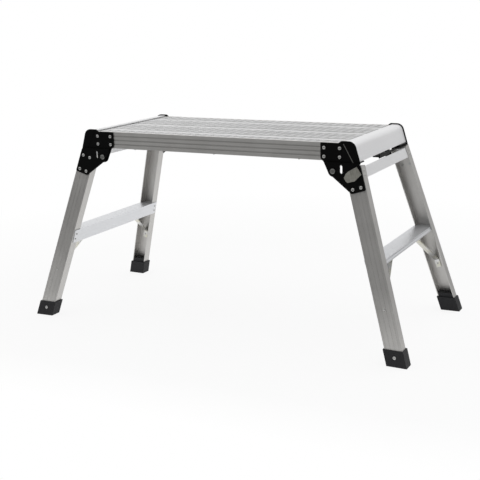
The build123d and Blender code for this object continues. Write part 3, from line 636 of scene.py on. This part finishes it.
def easeEdges(name):
    bm = bmesh.new()
    bm.from_mesh(nodes[name].data)
    bmesh.ops.remove_doubles(bm, verts=bm.verts, dist=eased["weld"])
    bmesh.ops.dissolve_limit(bm, angle_limit=radians(eased["flatAngle"]), verts=bm.verts, edges=bm.edges,
                             delimit={"NORMAL"})
    least = radians(eased["edgeAngle"])
    sharp = [edge for edge in bm.edges if len(edge.link_faces) == 2 and edge.calc_face_angle(0) > least]
    bmesh.ops.bevel(bm, geom=sharp, offset=easing[slotOf[name]], offset_type="OFFSET", affect="EDGES",
                    segments=eased["segments"], profile=eased["profile"], clamp_overlap=True)
    if name.endswith("_step"):
        creaseNose(bm)
    mesh = bpy.data.meshes.new(name)
    bm.to_mesh(mesh)
    bm.free()
    piece = addPiece(camelName(name), mesh)
    piece.data.materials.append(finishOf(name))
    smoothPiece(piece, eased["smooth"])
    evenNormals(piece)
    standFor(piece, name)


makeTreads()
print("tread planks made")
makeRivets()
print("rivets made")
for nodeName in [name for name in nodes if not name.endswith(("_plank", "_rivets"))]:
    easeEdges(nodeName)
print("edges eased")


# floor: white to the camera and in reflections, with the object's shadow near it
floorSheet = dict(back=5.0, front=0.7, sunk=0.0004, paper=shade(0.9, 0.9, 0.9), keepShadow=0.12,
                  shadowNear=0.8, shadowFar=1.7, frontFade=0.2,
                  dimRight=(0.2, 0.8), dimBehind=(-0.1, 0.3), dim=0.6)


def floorPaper():
    finish = Finish(bpy.data.materials.new("floorPaper"))
    _, x, y, _ = finish.place()
    camera, glossy, through = finish.rays("Camera", "Glossy", "Transmission")
    front = -floorSheet["front"]
    away = (x * x + y * y).math("SQRT")
    shadow = away.ramp(floorSheet["shadowFar"], floorSheet["shadowNear"])
    shadow = shadow * y.ramp(front, front + floorSheet["frontFade"])  # none left at the front edge
    dim = x.ramp(*floorSheet["dimRight"]) * y.ramp(*floorSheet["dimBehind"])  # in reflections only
    bright, unlit = [finish.node("ShaderNodeEmission", inputs={"Strength": power}) for power in (1, 0)]
    white = finish.mix(glossy * dim * floorSheet["dim"], bright, unlit)
    paper = finish.node("ShaderNodeBsdfDiffuse", inputs={"Color": floorSheet["paper"]})
    seen = camera.math("MAXIMUM", glossy).math("MAXIMUM", through)
    sheet = finish.mix(seen * (1 - shadow * floorSheet["keepShadow"]), paper, white)
    below = finish.node("ShaderNodeNewGeometry", output="Backfacing") * camera
    clear = finish.node("ShaderNodeBsdfTransparent")  # a camera under the floor sees through it
    finish.node("ShaderNodeOutputMaterial", inputs={"Surface": finish.mix(below, sheet, clear)})
    return finish.owner


def makeFloor():
    far, near, level = floorSheet["back"], floorSheet["front"], -floorSheet["sunk"]
    corners = [(-far, -near, level), (far, -near, level), (far, far, level), (-far, far, level)]
    mesh = bpy.data.meshes.new("floor")
    mesh.from_pydata(corners, [], [(0, 1, 2, 3)])
    floor = addPiece("floor", mesh)
    mesh.materials.append(floorPaper())


# studio: white to the camera; its light is dimmer in front and low on the right
sky = dict(tilt=1.1, back=(-0.45, 0.55), right=(-0.8, 0.5), low=(2 / 3, 0),
           rightDrop=0.6, frontLevel=0.25, softLevel=0.86)


def makeWorld():
    world = bpy.data.worlds.new("studio")
    bpy.context.scene.world = world
    finish = Finish(world)
    x, y, z = finish.split(finish.node("ShaderNodeTexCoord", output="Generated"))
    camera, glossy, through = finish.rays("Camera", "Glossy", "Transmission")
    back = (y * sky["tilt"] + z).ramp(*sky["back"])
    right = x.ramp(*sky["right"]) * z.ramp(*sky["low"])
    level = back * (1 - right * sky["rightDrop"] - sky["frontLevel"]) + sky["frontLevel"]
    soft = glossy.math("MAXIMUM", through) * (1 - sky["softLevel"]) + sky["softLevel"]
    strength = camera + (1 - camera) * level * soft
    shown = finish.node("ShaderNodeBackground", inputs={"Color": shade(1, 1, 1), "Strength": strength})
    finish.node("ShaderNodeOutputWorld", inputs={"Surface": shown})


lamps = dict(
    key=dict(at=(1.4, 0.8, 2.8), power=14, size=3.0),
    fill=dict(at=(-2.0, -1.6, 1.8), power=5, size=2.0),
)
lampAim = Vector((0, 0, 0.3))


def makeLamps():
    for name, lamp in lamps.items():
        data = bpy.data.lights.new(name, "AREA")
        data.energy, data.size = lamp["power"], lamp["size"]
        made = bpy.data.objects.new(name, data)
        made.location = lamp["at"]
        made.rotation_euler = (lampAim - Vector(lamp["at"])).to_track_quat("-Z", "Y").to_euler()
        bpy.context.scene.collection.objects.link(made)


makeFloor()
makeWorld()
makeLamps()
print("studio made")

# camera: fitted to the feet, rails and brackets; focal length and shift in pixels of the image
shot = dict(at=(1.1442, -2.2019, 0.8147), azimuth=26.06, elevation=16.24, roll=-1.14,
            image=480, focal=950.4, shiftX=-30, shiftY=38.3, sensor=36, nearest=0.01)


def makeCamera():
    a, e, r = radians(shot["azimuth"]), radians(shot["elevation"]), radians(shot["roll"])
    back = Vector((sin(a) * cos(e), -cos(a) * cos(e), sin(e)))
    level = Vector((cos(a), sin(a), 0))
    rise = back.cross(level)
    right = level * cos(r) + rise * sin(r)
    up = rise * cos(r) - level * sin(r)
    data = bpy.data.cameras.new("camera")
    data.sensor_width = shot["sensor"]
    data.lens = shot["focal"] / shot["image"] * shot["sensor"]
    data.shift_x, data.shift_y = shot["shiftX"] / shot["image"], shot["shiftY"] / shot["image"]
    data.clip_start = shot["nearest"]
    camera = bpy.data.objects.new("camera", data)
    camera.matrix_world = Matrix.Translation(shot["at"]) @ Matrix((right, up, back)).transposed().to_4x4()
    bpy.context.scene.collection.objects.link(camera)
    bpy.context.scene.camera = camera


makeCamera()
bpy.context.scene.view_settings.view_transform = "Standard"
print("camera set")

for name, node in nodes.items():  # the solids themselves carry the finish too
    node.data.materials.clear()
    node.data.materials.append(finishOf(name))
